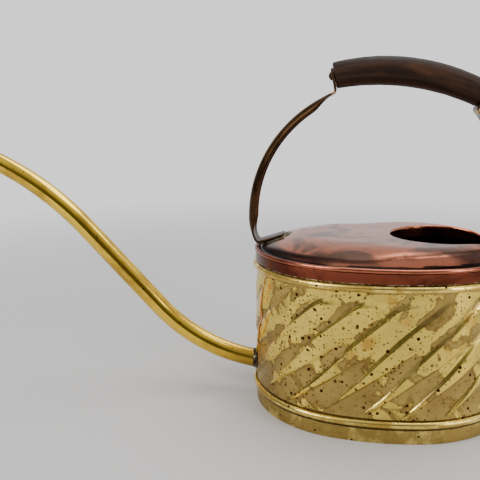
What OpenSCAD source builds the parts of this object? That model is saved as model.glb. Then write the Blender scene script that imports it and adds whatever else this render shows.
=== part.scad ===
// Long-spouted indoor watering can: oval brass tank, domed copper top, bent brass spout,
// hoop handle of two brass straps and a curved wooden grip.
// Origin: centre of the foot's resting plane. +Z up, the spout points along -X.

/* [Tank] */
// Radius of the two round ends of the oval, over the wall
end_radius = 74; // [60:0.5:90]
// Distance between the centres of the two round ends
end_spacing = 32; // [16:1:80]
// How far the sides bow out beyond the round ends
side_bow = 1.6; // [0.6:0.1:5]
// Height of the visible brass wall above the ground
wall_height = 106.4; // [70:0.2:150]
// Thickness of the brass sheet
sheet = 0.8; // [0.5:0.1:1.5]
// Gap left where one sheet slips inside another
slip_gap = 0.1; // [0.05:0.05:0.3]
// How far the foot's inner flange rises behind the wall
foot_lap = 5; // [3:0.5:8]
// How far the wall stands up inside the copper band
top_lap = 4; // [2:0.5:5]

/* [Foot and beads] */
// Height of the plain foot band
foot_height = 9.4; // [6:0.2:16]
// Radius of the half-round beads
bead_radius = 2.4; // [1.5:0.1:3.5]
// Gap between the foot band's top and the lower bead
lower_bead_gap = 1.6; // [0.5:0.1:4]
// Gap between the upper bead and the copper band above it
upper_bead_gap = 0.9; // [0.3:0.1:3]

/* [Copper top] */
// Thickness of the copper sheet
copper = 0.7; // [0.5:0.1:1.5]
// Height of the upright copper band below the rolled ridge
band_height = 6.6; // [5.4:0.2:12]
// Radius of the rolled ridge round the top
ridge_radius = 1.5; // [1:0.1:2.5]
// How far the groove behind the ridge lies inside the wall line
groove_inset = 2.6; // [2:0.1:5]
// Rise of the dome above the groove
dome_rise = 9.8; // [5:0.2:16]
// How far the dome's rounded shoulder reaches in from the wall line, before the flat middle
shoulder = 42; // [25:1:55]
// Radius of the fill hole
hole_radius = 36; // [20:0.5:42]
// Distance of the fill hole's centre behind the middle of the can
hole_offset = 43; // [30:0.5:48]
// Height of the fill hole's turned-down edge above the dome's rim
neck_lift = 1; // [0.4:0.2:3]

/* [Spout] */
// Outside radius of the spout tube
spout_radius = 7.2; // [5:0.1:9]
// Wall thickness of the spout tube
spout_wall = 0.7; // [0.5:0.1:1.2]
// Gap between the lower bead's top and the tube where it passes the wall
spout_gap = 1; // [0.6:0.2:20]
// Slope of the tube where it leaves the wall, degrees
root_slope = 8; // [0:1:20]
// Radius of the lower bend, to the tube's centre
lower_bend = 128; // [90:1:200]
// Slope of the straight climb, degrees
climb_slope = 46.7; // [30:0.1:60]
// Length of the straight climb
climb_length = 84; // [40:1:140]
// Radius of the upper bend, to the tube's centre
upper_bend = 235; // [120:1:300]
// Slope of the straight tip, degrees
tip_slope = 12; // [0:1:30]
// Length of the straight tip
tip_length = 24; // [15:1:60]
// How far the tube reaches inside the tank's wall
spout_reach = 4; // [2:0.5:8]
// Width of the solder fillet round the spout's root
solder_width = 2.4; // [1:0.1:4]

/* [Handle straps] */
// Width of the flat strap
strap_width = 18; // [12:0.5:24]
// Thickness of the flat strap
strap_thickness = 1.8; // [1.2:0.1:3]
// How far the strap's two edges are turned in along its curve
edge_depth = 4.8; // [2:0.2:7]
// Length of the front strap's foot on the copper top
front_foot_length = 20; // [14:1:24]
// Length of the rear strap's foot, which ends short of the fill hole
rear_foot_length = 8; // [6:0.5:10]
// Gap between the strap's foot and the copper under it
foot_gap = 0.3; // [0.2:0.05:0.6]
// Thickness of the solder puddle round each strap's foot
foot_solder_height = 1.6; // [0.8:0.1:3]
// How far the solder puddle spreads beyond the strap's foot
foot_solder_spread = 3; // [1:0.5:6]
// Radius of the outward flare above the foot
flare_radius = 31; // [20:1:50]
// Turn of the outward flare, degrees
flare_turn = 37; // [20:1:60]
// Radius of the strap's sharp folds, to its middle
fold_radius = 2.2; // [1.6:0.1:4]
// How far the strap runs below the grip's centre before it turns away
tab_drop = 11.5; // [10.8:0.1:16]
// How far the strap's end reaches above the screw
tab_rise = 5.5; // [4:0.5:9]

/* [Grip and screws] */
// Height of the grip's centre line at its highest point
grip_height = 239; // [200:1:300]
// Radius of the grip's curve
grip_curve = 153.6; // [110:0.2:240]
// Distance of the grip's highest point in front of the middle of the can
grip_forward = 5.6; // [0:0.2:15]
// Arc from the highest point to the front end, degrees
grip_front_arc = 11; // [6:0.5:20]
// Arc from the highest point to the rear end, degrees
grip_rear_arc = 27.4; // [15:0.2:32]
// Thickness of the round grip
grip_thickness = 19.4; // [14:0.2:21]
// Radius of the screw's shank
screw_radius = 1.6; // [1:0.1:2.2]
// Length of the screw's shank
screw_length = 18; // [10:1:30]
// Radius of the screw's round head
screw_head = 3.3; // [2.6:0.1:4.5]
// Height of the screw's round head
screw_dome = 2.3; // [1.5:0.1:3]
// Clearance round the screw in the strap
screw_clearance = 0.2; // [0.1:0.05:0.5]

/* [Hidden] */
$fn = 96;

// The oval: two round ends joined by two long flat arcs that are tangent to them
end_x = end_spacing / 2;
half_length = end_x + end_radius;
half_width = end_radius + side_bow;
side_radius = (end_x * end_x + half_width * half_width - end_radius * end_radius) / (2 * side_bow);
side_y = side_radius - half_width;
end_turn = 2 * atan2(side_y, end_x);
side_turn = 180 - end_turn;

// Levels from the ground up. The groove behind the ridge lies a little under the ridge's top.
base_level = foot_height + foot_lap;
lower_bead_z = foot_height + lower_bead_gap + bead_radius;
// Height of the spout tube's centre where it passes the wall, clear of the lower bead
spout_height = lower_bead_z + bead_radius + spout_gap + spout_radius;
upper_bead_z = wall_height - upper_bead_gap - bead_radius;
ridge_z = wall_height + band_height;
ridge_top = ridge_z + 2 * ridge_radius;
groove_z = ridge_z + 1.4 * ridge_radius;
crown_z = groove_z + dome_rise;
neck_z = groove_z - copper + neck_lift;

// Distances measured across the wall line, outward or inward
band_out = slip_gap + copper;
rim_inset = slip_gap;
hole_gap = half_length - hole_offset - hole_radius - copper - rear_foot_length;

// The dome's shoulder is one arc that ends level with the flat middle
dome_steps = 9;
dome_span = shoulder - groove_inset;
dome_arc = (dome_span * dome_span + dome_rise * dome_rise) / (2 * dome_rise);

// Height of the dome's outer face at a distance inside the wall line
function dome_z(inset) = crown_z - dome_arc + sqrt(pow(dome_arc, 2) - pow(max(0, shoulder - inset), 2));

// Sweeps a profile round the oval: x is the distance outside the wall line, y is the height
module round_oval() {
    for (s = [0, 180])
        rotate(s) {
            translate([end_x, 0, 0])
                rotate(-end_turn / 2)
                    rotate_extrude(angle = end_turn)
                        translate([end_radius, 0])
                            children();
            translate([0, -side_y, 0])
                rotate(90 - side_turn / 2)
                    rotate_extrude(angle = side_turn)
                        translate([side_radius, 0])
                            children();
        }
}

// A solid oval plate between two heights, its edge a distance outside the wall line
module oval_plate(grow, low, high) {
    edge_x = end_x + (end_radius + grow) * cos(end_turn / 2);
    translate([0, 0, low]) {
        for (s = [-1, 1])
            translate([s * end_x, 0, 0])
                cylinder(r = end_radius + grow, h = high - low);
        intersection() {
            translate([0, -side_y, 0])
                cylinder(r = side_radius + grow, h = high - low);
            translate([0, side_y, 0])
                cylinder(r = side_radius + grow, h = high - low);
            translate([-edge_x, -half_length, 0])
                cube([2 * edge_x, 2 * half_length, high - low]);
        }
    }
}

// A strip of sheet standing on the oval: its outer face lies a distance outside the wall line
module sheet_band(out, thick, low, high) {
    difference() {
        oval_plate(out, low, high);
        oval_plate(out - thick, low - 1, high + 1);
    }
}

// A path in the plane of the spout and handle is a start [x, z, slope] and a list of runs.
// A run is [length] for a straight, or [radius, turn] for a bend, where a positive turn bends to the left.
function side_of(run) = run[1] > 0 ? 1 : -1;
function bend_centre(p, run) = [p[0] - side_of(run) * run[0] * sin(p[2]), p[1] + side_of(run) * run[0] * cos(p[2])];
function after(p, run) = len(run) == 1
    ? [p[0] + run[0] * cos(p[2]), p[1] + run[0] * sin(p[2]), p[2]]
    : let (c = bend_centre(p, run), k = side_of(run) * run[0], a = p[2] + run[1])
        [c[0] + k * sin(a), c[1] - k * cos(a), a];
function pose(start, runs, n) = n == 0 ? start : after(pose(start, runs, n - 1), runs[n - 1]);

// Points along one run, a step of angle apart: each is [x, z, slope]
bend_step = 3;
function run_spots(p, run) = len(run) == 1
    ? [p, after(p, run)]
    : let (n = ceil(abs(run[1]) / bend_step))
        [for (i = [0 : n]) after(p, [run[0], run[1] * i / n])];

// Points along the whole path, with each joint between runs given once
function path_spots(start, runs) = [
    start,
    for (n = [0 : len(runs) - 1])
        let (spots = run_spots(pose(start, runs, n), runs[n]))
            for (i = [1 : len(spots) - 1]) spots[i]];

// A point a distance to the left of a spot on the path
function beside(p, gap) = [p[0] - gap * sin(p[2]), p[1] + gap * cos(p[2])];

// Stands the local XY plane up as the can's XZ plane
module stand_up() {
    rotate([90, 0, 0])
        children();
}

// One ring of points round a spot of the path, and a round tube made of such rings
tube_sides = 32;
function ring(p, radius) = [for (k = [0 : tube_sides - 1])
    let (a = 360 * k / tube_sides, b = beside(p, radius * cos(a)))
        [b[0], b[1], radius * sin(a)]];

module round_tube(spots, radius, thick) {
    loops = [for (p = spots) ring(p, radius), for (i = [len(spots) - 1 : -1 : 0]) ring(spots[i], radius - thick)];
    polyhedron(
        points = [for (l = loops) for (v = l) v],
        faces = [for (i = [0 : len(loops) - 1]) for (k = [0 : tube_sides - 1])
            let (j = (i + 1) % len(loops), m = (k + 1) % tube_sides)
                [i * tube_sides + k, i * tube_sides + m, j * tube_sides + m, j * tube_sides + k]]);
}

// The spout's path, drawn pointing along +X and mirrored to the front
spout_start = [half_length - spout_reach, spout_height - spout_reach * tan(root_slope), root_slope];
spout_runs = [
    [spout_reach + 2],
    [lower_bend, climb_slope - root_slope],
    [climb_length],
    [upper_bend, tip_slope - climb_slope],
    [tip_length]];

// Grip ends, front and rear: [x, z, arc] of the centre of each end face
grip_centre = [-grip_forward, grip_height - grip_curve];
function grip_point(arc) = [grip_centre[0] + grip_curve * sin(arc), grip_centre[1] + grip_curve * cos(arc)];
front_arc = -grip_front_arc;
rear_arc = grip_rear_arc;

// Each strap is worked out on its own side, with x counted outward from the middle of the can.
// knee: where the strap turns away below the grip. root: where its foot begins, at the ridge.
function out_sign(arc) = arc < 0 ? -1 : 1;
function knee(arc) = let (s = out_sign(arc), e = grip_point(arc), a = abs(arc), t = strap_thickness / 2)
    [s * e[0] + t * cos(a) - tab_drop * sin(a), e[1] - t * sin(a) - tab_drop * cos(a)];
function foot_length(arc) = arc < 0 ? front_foot_length : rear_foot_length;
// How far the root lies inside the wall line
root_inset = 1;
root_x = half_length - root_inset;
root_z = ridge_top + foot_gap + strap_thickness / 2;
// The foot's slope is the least that clears the dome under it
slope_from = root_inset + 4;
foot_slope = atan(max([for (x = [slope_from : root_inset + front_foot_length])
    (dome_z(x) - ridge_top) / (x - root_inset)]));
// Where the flare stands upright and the long curve begins
upright = [root_x + flare_radius * (1 - cos(flare_turn)), root_z + flare_radius * sin(flare_turn)];
function long_radius(arc) = let (dx = upright[0] - knee(arc)[0], dz = knee(arc)[1] - upright[1])
    (dx * dx + dz * dz) / (2 * dx);
function long_turn(arc) = let (r = long_radius(arc))
    atan2(knee(arc)[1] - upright[1], knee(arc)[0] - upright[0] + r);

// The strap's path: foot, fold, flare, long curve, knee and tab. A fold starts and ends on the
// curves beside it, so each curve gives up a little of its turn to the fold.
function strap_start(arc) =
    [root_x - foot_length(arc) * cos(foot_slope), root_z + foot_length(arc) * sin(foot_slope), -foot_slope];
root_turn = 90 - flare_turn + foot_slope;
root_share = fold_trim(root_turn) / flare_radius * 180 / PI;
function knee_turn(arc) = long_turn(arc) + abs(arc);
function knee_share(arc) = fold_trim(knee_turn(arc)) / long_radius(arc) * 180 / PI;
function strap_runs(arc) = [
    [foot_length(arc) - fold_trim(root_turn)],
    [fold_radius, root_turn + root_share],
    [flare_radius, flare_turn - root_share],
    [long_radius(arc), long_turn(arc) - knee_share(arc)],
    [fold_radius, knee_share(arc) - knee_turn(arc)],
    [tab_drop + tab_rise - fold_trim(knee_turn(arc))]];

// The strap seen from the side, as one bent strip
module strap_outline(arc) {
    spots = path_spots(strap_start(arc), strap_runs(arc));
    polygon([
        for (p = spots) beside(p, -strap_thickness / 2),
        for (i = [len(spots) - 1 : -1 : 0]) beside(spots[i], strap_thickness / 2)]);
}

// Number of path points over which a turned-in edge grows to its full depth
edge_run = 7;

// A turned-in edge seen from the side: it grows out of the flat strip after the foot and dies out
// before the tab
module edge_outline(arc) {
    runs = strap_runs(arc);
    spots = path_spots(pose(strap_start(arc), runs, 2), [runs[2], runs[3]]);
    last = len(spots) - 1;
    polygon([
        for (p = spots) beside(p, 0),
        for (i = [last : -1 : 0])
            beside(spots[i], strap_thickness / 2 + edge_depth * min(1, i / edge_run, (last - i) / edge_run))]);
}

// Length that a fold of a turn takes off the straight on either side of it
function fold_trim(turn) = fold_radius * tan(abs(turn) / 2);

module strap_side(arc) {
    difference() {
        union() {
            translate([0, 0, -strap_width / 2])
                linear_extrude(strap_width)
                    strap_outline(arc);
            for (s = [-1, 1])
                translate([0, 0, s * (strap_width - strap_thickness) / 2])
                    linear_extrude(strap_thickness, center = true)
                        edge_outline(arc);
        }
        translate([knee(arc)[0], knee(arc)[1], 0])
            rotate(90 - abs(arc))
                translate([tab_drop, 0, 0])
                    rotate([90, 0, 0])
                        tab_cuts();
    }
}

// The screw hole through the strap's tab, and the tab's corners cut off
module tab_cuts() {
    cylinder(r = screw_radius + screw_clearance, h = 4 * strap_thickness, center = true);
    for (s = [-1, 1])
        translate([tab_rise, s * strap_width / 2, 0])
            rotate(45)
                cube([tab_rise, tab_rise, 4 * strap_thickness], center = true);
}

module strap(arc) {
    color("#4a3018")
        mirror([out_sign(arc) < 0 ? 1 : 0, 0, 0])
            stand_up()
                strap_side(arc);
}

// Solder that has run out round a strap's foot: a puddle on the dome, cut away where the strap lies
puddle_steps = 6;
puddle_gap = 1.5;
puddle_start = groove_inset + puddle_gap;
module foot_solder(arc) {
    last = foot_length(arc) + min(foot_solder_spread, hole_gap);
    half_turn = asin((strap_width / 2 + foot_solder_spread) / (end_radius - last));
    insets = [for (i = [0 : puddle_steps]) puddle_start + (last - puddle_start) * i / puddle_steps];
    color("#3a3632")
        difference() {
            rotate(arc < 0 ? 180 : 0)
                translate([end_x, 0, 0])
                    rotate(-half_turn)
                        rotate_extrude(angle = 2 * half_turn)
                            translate([end_radius, 0])
                                polygon([
                                    for (x = insets) [-x, dome_z(x)],
                                    for (i = [puddle_steps : -1 : 0])
                                        [-insets[i], dome_z(insets[i]) + foot_solder_height]]);
            strap_envelope(arc);
        }
}

// The space over a strap's foot and the fold beside it
module strap_envelope(arc) {
    mirror([out_sign(arc) < 0 ? 1 : 0, 0, 0])
        stand_up()
            translate([root_x, root_z, 0])
                rotate(180 - foot_slope)
                    translate([-strap_width / 2, -strap_thickness / 2, -strap_width / 2])
                        cube([foot_length(arc) + strap_width / 2, strap_width, strap_width]);
}

module foot_ring() {
    color("#a8904a") {
        sheet_band(0, sheet, 0, foot_height);
        sheet_band(-sheet - slip_gap, sheet, foot_height - sheet, base_level);
        sheet_band(-sheet / 2, sheet / 2 + slip_gap + sheet, foot_height - sheet, foot_height);
    }
}

module base_plate() {
    color("#8f7a40")
        oval_plate(-sheet - slip_gap, base_level, base_level + sheet);
}

module body_wall() {
    color("#b89a4c")
        difference() {
            sheet_band(0, sheet, foot_height, wall_height + top_lap);
            spout_bore(spout_radius + slip_gap);
        }
}

// A half-round wire with its flat side on the wall line
wire_facets = 48;
module half_round(z, radius) {
    round_oval()
        intersection() {
            translate([0, z])
                circle(r = radius, $fn = wire_facets);
            translate([0, z - radius])
                square([radius, 2 * radius]);
        }
}

module lower_bead() {
    color("#cdb25a")
        half_round(lower_bead_z, bead_radius);
}

module upper_bead() {
    color("#cdb25a")
        half_round(upper_bead_z, bead_radius);
}

// Everything under the dome's face lowered by a distance, from its rim inward
module dome_body(rim, drop, low) {
    insets = [rim, for (i = [1 : dome_steps]) groove_inset + dome_span * i / dome_steps];
    for (i = [0 : dome_steps - 1])
        hull() {
            oval_plate(-insets[i], low, dome_z(max(groove_inset, insets[i])) - drop);
            oval_plate(-insets[i + 1], low, dome_z(insets[i + 1]) - drop);
        }
}

// Upright band round the top of the wall
module copper_band() {
    color("#8a4a34")
        sheet_band(band_out, copper, wall_height, ridge_z);
}

// Ridge rolled over the band's upper edge, with its flat side towards the groove
module rolled_ridge() {
    color("#a8583c")
        half_round(ridge_z + ridge_radius, ridge_radius);
}

// Dome with the fill hole's edge turned down inside it
module copper_dome() {
    color("#b06a4c")
        difference() {
            dome_body(rim_inset, 0, groove_z - copper);
            difference() {
                dome_body(groove_inset + 2 * copper, copper, groove_z - copper - 1);
                fill_hole(hole_radius + copper, neck_z);
            }
            fill_hole(hole_radius, groove_z - copper - 2);
        }
}

// The space of the fill hole, from a height up
module fill_hole(radius, low) {
    translate([hole_offset, 0, low])
        cylinder(r = radius, h = crown_z + 1 - low);
}

// The line of solder under the copper band fills part of the gap above the upper bead
module top_solder() {
    depth = 0.6 * upper_bead_gap;
    color("#b8b4a4")
        sheet_band(band_out - slip_gap, band_out - slip_gap, wall_height - depth, wall_height);
}

// The hole through the wall for the spout
module spout_bore(radius) {
    translate([-half_length, 0, spout_height])
        rotate([0, -90 + root_slope, 0])
            cylinder(r = radius, h = 4 * spout_reach, center = true);
}

module spout_tube() {
    color("#c8a648")
        mirror([1, 0, 0])
            stand_up()
                round_tube(path_spots(spout_start, spout_runs), spout_radius, spout_wall);
}

// A fillet of solder round the tube where it leaves the wall, ending in a thin lip on the tube
fillet_lip = 0.4;
wall_facets = 720;
module spout_solder() {
    inside = spout_radius + slip_gap;
    color("#5a4c2a")
        difference() {
            translate([-half_length, 0, spout_height])
                rotate([0, -90 + root_slope, 0])
                    rotate_extrude()
                        polygon([
                            [inside, -solder_width],
                            [inside + solder_width, -solder_width],
                            [inside + fillet_lip, solder_width],
                            [inside, solder_width]]);
            translate([-end_x, 0, 0])
                cylinder(r = end_radius, h = wall_height, $fn = wall_facets);
        }
}

module front_strap() {
    strap(front_arc);
}

module rear_strap() {
    strap(rear_arc);
}

module front_foot_solder() {
    foot_solder(front_arc);
}

module rear_foot_solder() {
    foot_solder(rear_arc);
}

// Placed at a grip end, with +Z pointing out of the end face
module at_grip_end(arc) {
    e = grip_point(arc);
    translate([e[0], 0, e[1]])
        rotate([0, arc < 0 ? -90 + arc : 90 + arc, 0])
            children();
}

module wooden_grip() {
    color("#4a2c18")
        difference() {
            stand_up()
                translate([grip_centre[0], grip_centre[1], 0])
                    rotate(90 - rear_arc)
                        rotate_extrude(angle = rear_arc - front_arc)
                            translate([grip_curve, 0])
                                circle(r = grip_thickness / 2);
            for (arc = [front_arc, rear_arc])
                at_grip_end(arc)
                    translate([0, 0, -screw_length - 1])
                        cylinder(r = screw_radius + slip_gap / 2, h = screw_length + 2);
        }
}

// A wood screw: the shank laps into the head, and the head is a slice of a ball with a slot
head_lap = 0.5;
slot_width = 0.8;
slot_depth = 1;
module screw(arc) {
    ball = (screw_head * screw_head + screw_dome * screw_dome) / (2 * screw_dome);
    color("#6a5a34")
        at_grip_end(arc) {
            translate([0, 0, -screw_length])
                cylinder(r = screw_radius, h = screw_length + strap_thickness + head_lap);
            difference() {
                intersection() {
                    translate([0, 0, strap_thickness + screw_dome - ball])
                        sphere(r = ball);
                    translate([0, 0, strap_thickness])
                        cylinder(r = screw_head + 1, h = screw_dome + 1);
                }
                translate([-screw_head - 1, -slot_width / 2, strap_thickness + screw_dome - slot_depth])
                    cube([2 * screw_head + 2, slot_width, 2 * slot_depth]);
            }
        }
}

module front_screw() {
    screw(front_arc);
}

module rear_screw() {
    screw(rear_arc);
}

foot_ring();
base_plate();
body_wall();
lower_bead();
upper_bead();
copper_band();
rolled_ridge();
copper_dome();
top_solder();
spout_tube();
spout_solder();
front_strap();
rear_strap();
front_foot_solder();
rear_foot_solder();
wooden_grip();
front_screw();
rear_screw();
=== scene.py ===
import math

import bmesh
import bpy
from mathutils import Matrix, Vector, noise


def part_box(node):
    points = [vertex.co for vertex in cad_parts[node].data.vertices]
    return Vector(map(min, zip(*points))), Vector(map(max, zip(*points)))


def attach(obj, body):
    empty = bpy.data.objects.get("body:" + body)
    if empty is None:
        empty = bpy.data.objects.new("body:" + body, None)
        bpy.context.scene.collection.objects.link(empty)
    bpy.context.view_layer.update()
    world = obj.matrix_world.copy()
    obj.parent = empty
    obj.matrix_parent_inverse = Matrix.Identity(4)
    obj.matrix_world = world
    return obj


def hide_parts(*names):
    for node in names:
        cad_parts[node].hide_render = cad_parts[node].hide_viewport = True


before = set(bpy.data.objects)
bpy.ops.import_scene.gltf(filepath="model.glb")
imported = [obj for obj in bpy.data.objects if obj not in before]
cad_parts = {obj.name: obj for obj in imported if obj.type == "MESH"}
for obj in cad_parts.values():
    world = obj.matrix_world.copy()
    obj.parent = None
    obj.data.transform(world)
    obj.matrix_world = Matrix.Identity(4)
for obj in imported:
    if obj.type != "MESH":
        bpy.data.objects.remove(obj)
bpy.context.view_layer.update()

MM = 0.001


# Foot ring. A plain band of brass sheet that the can stands on, bent to the tank's oval. Its
# upper edge is joggled inward into a flange that the base plate and the wall are soldered to.
wall_low, wall_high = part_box("body_wall")
foot_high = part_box("foot_ring")[1]
END_SPACING = 32 * MM
SHEET = 0.8 * MM
FOOT_TOP = wall_low.z
END_X = END_SPACING / 2
END_RADIUS = wall_high.x - END_X
SIDE_BOW = wall_high.y - END_RADIUS
SIDE_RADIUS = (END_X ** 2 + wall_high.y ** 2 - END_RADIUS ** 2) / (2 * SIDE_BOW)
SIDE_Y = SIDE_RADIUS - wall_high.y
END_TURN = math.atan2(SIDE_Y, END_X)
QUARTER = END_TURN * END_RADIUS + (math.pi / 2 - END_TURN) * SIDE_RADIUS


def oval_turn(along):
    """The direction that the oval faces at a distance along its quarter turn from the +X end."""
    if along < END_TURN * END_RADIUS:
        return along / END_RADIUS
    return END_TURN + (along - END_TURN * END_RADIUS) / SIDE_RADIUS


def oval_spot(along, out):
    """A point of the oval: along is the distance round from the +X end, out the distance outside."""
    lap = along % (4 * QUARTER)
    quarter = int(lap // QUARTER) % 4
    rest = lap - quarter * QUARTER
    turn = oval_turn(rest if quarter % 2 == 0 else QUARTER - rest)
    if turn < END_TURN:
        x = END_X + (END_RADIUS + out) * math.cos(turn)
        y = (END_RADIUS + out) * math.sin(turn)
    else:
        x = (SIDE_RADIUS + out) * math.cos(turn)
        y = (SIDE_RADIUS + out) * math.sin(turn) - SIDE_Y
    if quarter in (1, 2):
        x = -x
    if quarter in (2, 3):
        y = -y
    return x, y


def inset_of(x, y):
    """How far a point of the plan lies inside the wall's outer line."""
    x, y = abs(x), abs(y)
    if math.atan2(y, x - END_X) < END_TURN:
        return END_RADIUS - math.hypot(x - END_X, y)
    return SIDE_RADIUS - math.hypot(x, y + SIDE_Y)


def new_piece(name, points, faces, material, replaced, smooth=True):
    """Makes a piece from points and faces, sets its material and ties it to the frame."""
    mesh = bpy.data.meshes.new(name)
    mesh.from_pydata(points, [], faces)
    mesh.validate()
    bm = bmesh.new()
    bm.from_mesh(mesh)
    bmesh.ops.recalc_face_normals(bm, faces=bm.faces)
    bm.to_mesh(mesh)
    bm.free()
    mesh.polygons.foreach_set("use_smooth", [smooth] * len(mesh.polygons))
    piece = bpy.data.objects.new(name, mesh)
    bpy.context.scene.collection.objects.link(piece)
    mesh.materials.append(material)
    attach(piece, "root")
    if replaced:
        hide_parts(replaced)
    return piece


def mark(piece, name, values, kind="FLOAT"):
    """Stores a value for each point of a piece, which its finish reads by name."""
    layer = piece.data.attributes.new(name, kind, "POINT")
    layer.data.foreach_set("value" if kind == "FLOAT" else "vector", values)


def grid_faces(rows, columns, close_rows, close_columns):
    """Quads of a grid of points that is rows by columns, closed round either way if asked."""
    faces = []
    for r in range(rows if close_rows else rows - 1):
        for c in range(columns if close_columns else columns - 1):
            r2, c2 = (r + 1) % rows, (c + 1) % columns
            faces.append((r * columns + c, r * columns + c2, r2 * columns + c2, r2 * columns + c))
    return faces


def oval_sweep(name, profile, steps, material, replaced, wobble=0.0):
    """Sweeps a closed profile of (out, height) points round the oval, with a little hand-made wobble."""
    points = []
    for i in range(steps):
        along = 4 * QUARTER * i / steps
        for out, z in profile:
            x, y = oval_spot(along, out)
            shift = wobble * noise.noise(Vector((x, y, z)) * 45)
            x, y = oval_spot(along, out + shift)
            points.append((x, y, z + 0.6 * shift))
    return new_piece(name, points, grid_faces(steps, len(profile), True, True), material, replaced)


def rounded(profile, radius, steps=4):
    """Rounds the corners of a closed profile."""
    result = []
    for i, corner in enumerate(profile):
        before, after = Vector(profile[i - 1]), Vector(profile[(i + 1) % len(profile)])
        spot = Vector(corner)
        a, b = before - spot, after - spot
        reach = min(radius, a.length * 0.45, b.length * 0.45)
        start, end = spot + a.normalized() * reach, spot + b.normalized() * reach
        for s in range(steps + 1):
            t = s / steps
            result.append(tuple(start * (1 - t) ** 2 + spot * 2 * t * (1 - t) + end * t * t))
    return result


def paint(r, g, b):
    """A colour given in the usual 0 to 255 steps, as the shader's linear values."""
    linear = []
    for step in (r, g, b):
        value = step / 255
        linear.append(value / 12.92 if value <= 0.04045 else ((value + 0.055) / 1.055) ** 2.4)
    return (*linear, 1.0)


def add_node(tree, kind, settings=None, wires=None):
    """Adds a shader node: settings are its properties, wires its inputs, as links or plain values."""
    node = tree.nodes.new("ShaderNode" + kind)
    for key, value in (settings or {}).items():
        setattr(node, key, value)
    for key, value in (wires or {}).items():
        if isinstance(value, bpy.types.NodeSocket):
            tree.links.new(value, node.inputs[key])
        else:
            node.inputs[key].default_value = value
    return node


class Finish:
    """A surface finish: a material with a shader, and short ways to add what varies over it."""

    def __init__(self, name, metallic=1.0):
        self.material = bpy.data.materials.new(name)
        self.material.use_nodes = True
        self.tree = self.material.node_tree
        self.shader = self.tree.nodes["Principled BSDF"]
        self.shader.inputs["Metallic"].default_value = metallic
        self.place = self.add("TexCoord").outputs["Object"]

    def add(self, kind, settings=None, wires=None):
        return add_node(self.tree, kind, settings, wires)

    def attribute(self, name, output="Fac"):
        return self.add("Attribute", {"attribute_name": name}).outputs[output]

    def stretch(self, source, scale):
        return self.add("Mapping", {}, {"Vector": source, "Scale": scale}).outputs["Vector"]

    def clouds(self, scale, detail=4.0, roughness=0.55, source=None, warp=0.0):
        wires = {"Vector": source or self.place, "Scale": scale, "Detail": detail,
                 "Roughness": roughness, "Distortion": warp}
        return self.add("TexNoise", {}, wires).outputs["Fac"]

    def cells(self, scale, source=None, flat=False):
        wires = {"Vector": source or self.place, "Scale": scale}
        return self.add("TexVoronoi", {"voronoi_dimensions": "2D" if flat else "3D"}, wires)

    def calc(self, operation, a, b=0.0, clamp=False):
        return self.add("Math", {"operation": operation, "use_clamp": clamp}, {0: a, 1: b}).outputs[0]

    def step(self, value, low, high, to_low=0.0, to_high=1.0):
        wires = {"Value": value, "From Min": low, "From Max": high, "To Min": to_low, "To Max": to_high}
        return self.add("MapRange", {"interpolation_type": "SMOOTHSTEP"}, wires).outputs["Result"]

    def mix(self, amount, a, b, how="MIX"):
        wires = {0: amount, 6: a, 7: b}
        return self.add("Mix", {"data_type": "RGBA", "blend_type": how}, wires).outputs[2]

    def spots(self, scale, share, size, source=None, flat=False):
        """Round pits: in a share of the cells, a spot of up to that size, 1 inside and 0 outside."""
        cell = self.cells(scale, source, flat)
        chance = self.add("SeparateColor", {}, {0: cell.outputs["Color"]})
        room = self.step(chance.outputs[0], 1 - share, 1, 0.15 * size, size)
        there = self.calc("GREATER_THAN", chance.outputs[0], 1 - share)
        inside = self.calc("LESS_THAN", cell.outputs["Distance"], room)
        return self.calc("MULTIPLY", there, inside)

    def colour(self, socket):
        self.tree.links.new(socket, self.shader.inputs["Base Color"])

    def gloss(self, socket):
        self.tree.links.new(socket, self.shader.inputs["Roughness"])

    def relief(self, height, depth_mm, strength=1.0):
        bump = self.add("Bump", {}, {"Height": height, "Strength": strength, "Distance": depth_mm * MM})
        self.tree.links.new(bump.outputs["Normal"], self.shader.inputs["Normal"])


def plain_brass(name, bright, dull, share, gloss_low, gloss_high):
    """Brass that is rubbed bright in places and dull in others, with pits and fine scratches."""
    finish = Finish(name)
    wear = finish.step(finish.clouds(70, 6, 0.6), 0.5 - share, 0.72 - share)
    fine = finish.clouds(420, 4, 0.6)
    tone = finish.mix(wear, paint(*dull), paint(*bright))
    tone = finish.mix(finish.step(fine, 0.45, 0.75, 0, 0.35), tone, paint(88, 64, 24))
    pits = finish.spots(330, 0.22, 0.30)
    specks = finish.spots(800, 0.2, 0.34)
    dark = finish.calc("MAXIMUM", pits, finish.calc("MULTIPLY", specks, 0.7))
    finish.colour(finish.mix(dark, tone, paint(50, 28, 10)))
    finish.gloss(finish.calc("ADD", finish.step(wear, 0, 1, gloss_high, gloss_low),
                             finish.calc("MULTIPLY", fine, 0.12)))
    height = finish.calc("SUBTRACT", finish.calc("MULTIPLY", fine, 0.15), dark)
    finish.relief(height, 0.12, 0.6)
    return finish.material


aged_brass = plain_brass("aged_brass", (228, 200, 112), (168, 142, 76), 0.04, 0.26, 0.42)
SLIP_GAP = 0.1 * MM
FLANGE = -SHEET - SLIP_GAP
foot_profile = rounded([(-SHEET, 0), (0, 0), (0, FOOT_TOP), (FLANGE, FOOT_TOP + SLIP_GAP),
                        (FLANGE, foot_high.z), (FLANGE - SHEET, foot_high.z),
                        (FLANGE - SHEET, FOOT_TOP - SHEET), (-SHEET, FOOT_TOP - 2 * SHEET)], 0.35 * MM)
oval_sweep("foot_band", foot_profile, 360, aged_brass, "foot_ring", 0.12 * MM)


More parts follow.
